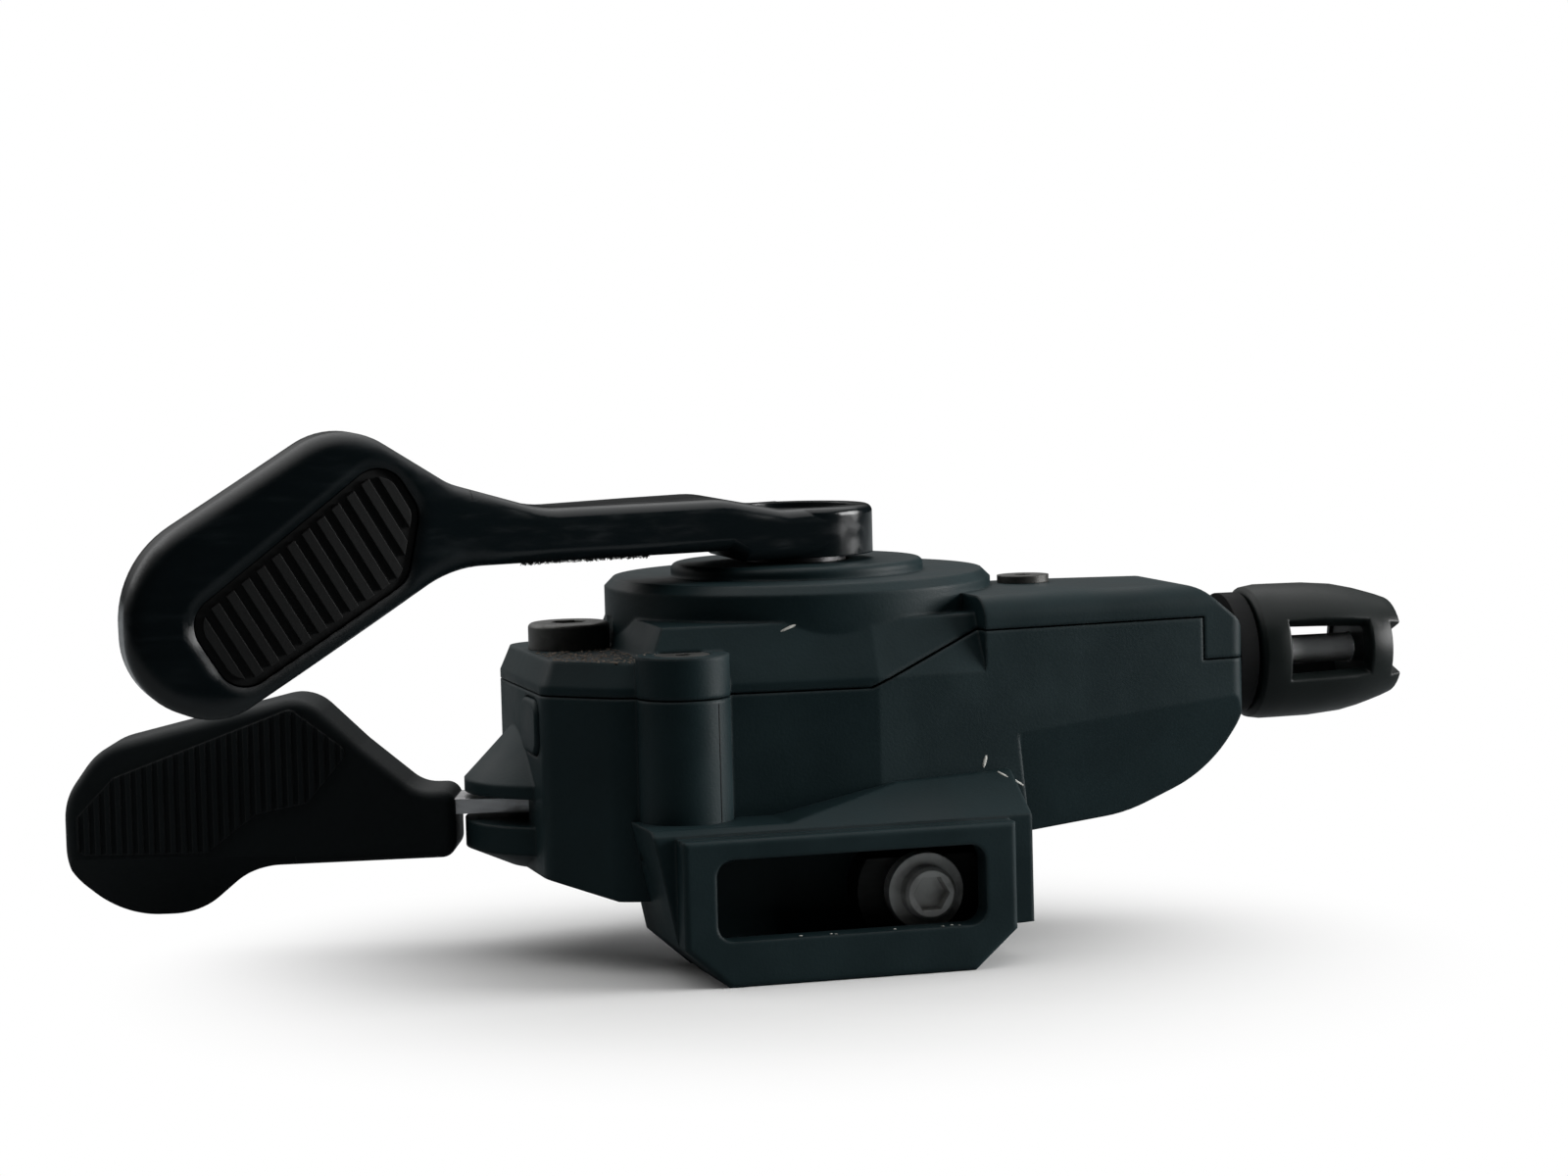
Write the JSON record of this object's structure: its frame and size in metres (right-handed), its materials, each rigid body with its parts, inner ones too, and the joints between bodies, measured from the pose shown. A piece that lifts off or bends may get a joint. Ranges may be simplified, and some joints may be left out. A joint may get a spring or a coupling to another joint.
{
  "type": "trigger gear shifter",
  "caption": "Handlebar trigger gear shifter with a split moulded housing, long thumb lever, ribbed release paddle, slotted clamp bracket and barrel adjuster for the shift cable.",
  "frame": {"origin": "middle of the clamp slot, on the bracket's front face", "axes": "+X along the slot towards the barrel adjuster, +Y from the bracket's front face into the part, +Z towards the thumb lever, parallel to the main pivot"},
  "size_m": [0.106, 0.041, 0.0423],
  "materials": {
    "housing": "satin moulded grain, charcoal",
    "lever_gloss": "glossy black",
    "ribbed_insert": "matte black, fine ribs",
    "paddle_plastic": "matte black, fine ribs",
    "black_steel": "black oxide",
    "steel": "plain",
    "spring_steel": "drawn wire",
    "bush_brass": "turned",
    "drum_plastic": "plain",
    "seal_rubber": "matte",
    "tube_polished": "polished"
  },
  "bodies": {
    "body": {"case_base": "housing", "cover": "housing", "mount_bracket": "housing", "bracket_screws": "black_steel", "cover_screws": "black_steel", "base_plate": "steel", "base_screws": "black_steel", "main_axle": "steel", "pivot_bolt": "black_steel", "hold_pawl_pin": "steel", "release_bolt": "black_steel", "release_spacer": "steel", "cable_port_plug": "housing", "adjuster_seal": "seal_rubber", "drum_spring": "spring_steel", "lever_spring": "spring_steel", "release_spring": "spring_steel"},
    "main_lever": {"main_lever": "lever_gloss", "thumb_pad": "ribbed_insert", "lever_carrier": "steel", "lever_bush": "bush_brass", "feed_pawl_pin": "steel"},
    "drum": {"winding_drum": "drum_plastic", "position_ratchet": "steel", "feed_ratchet": "steel"},
    "feed_pawl": {"feed_pawl": "steel"},
    "hold_pawl": {"hold_pawl": "steel"},
    "release_lever": {"release_plate": "steel", "release_paddle": "paddle_plastic"},
    "adjuster": {"adjuster_sleeve": "lever_gloss", "guide_tube": "tube_polished"},
    "clamp": {"clamp_bolt": "black_steel", "clamp_washer": "black_steel"}
  },
  "joints": [
    {"name": "main_lever_pivot", "type": "hinge", "parent": "body", "child": "main_lever", "pos_m": [0.0031, 0.0245, 0.0265], "axis": [0, 0, -1], "range_deg": [0, 45], "stiffness_Nm_per_rad": 0.3},
    {"name": "drum_turn", "type": "hinge", "parent": "body", "child": "drum", "pos_m": [0.0031, 0.0245, 0.014], "axis": [0, 0, -1], "range_deg": [0, 45]},
    {"name": "feed_pawl_swing", "type": "hinge", "parent": "main_lever", "child": "feed_pawl", "pos_m": [-0.00436, 0.01561, 0.0179], "axis": [0, 0, -1], "range_deg": [0, 6]},
    {"name": "hold_pawl_swing", "type": "hinge", "parent": "body", "child": "hold_pawl", "pos_m": [-0.00695, 0.0303, 0.01], "axis": [0, 0, 1], "range_deg": [0, 18]},
    {"name": "release_pivot", "type": "hinge", "parent": "body", "child": "release_lever", "pos_m": [-0.0158, 0.025, 0.0051], "axis": [0, 0, 1], "range_deg": [-12, 14], "stiffness_Nm_per_rad": 0.15},
    {"name": "adjuster_turn", "type": "hinge", "parent": "body", "child": "adjuster", "pos_m": [0.0445, 0.016, 0.015], "axis": [1, 0, 0], "continuous": true},
    {"name": "clamp_slide", "type": "slide", "parent": "body", "child": "clamp", "axis": [1, 0, 0], "range_m": [-0.012, 0]}
  ],
  "couplings": [
    {"joint": "drum_turn", "follows": "main_lever_pivot", "ratio": 1},
    {"joint": "feed_pawl_swing", "follows": "main_lever_pivot", "ratio": 0.13333},
    {"joint": "hold_pawl_swing", "follows": "main_lever_pivot", "ratio": 0.4}
  ]
}
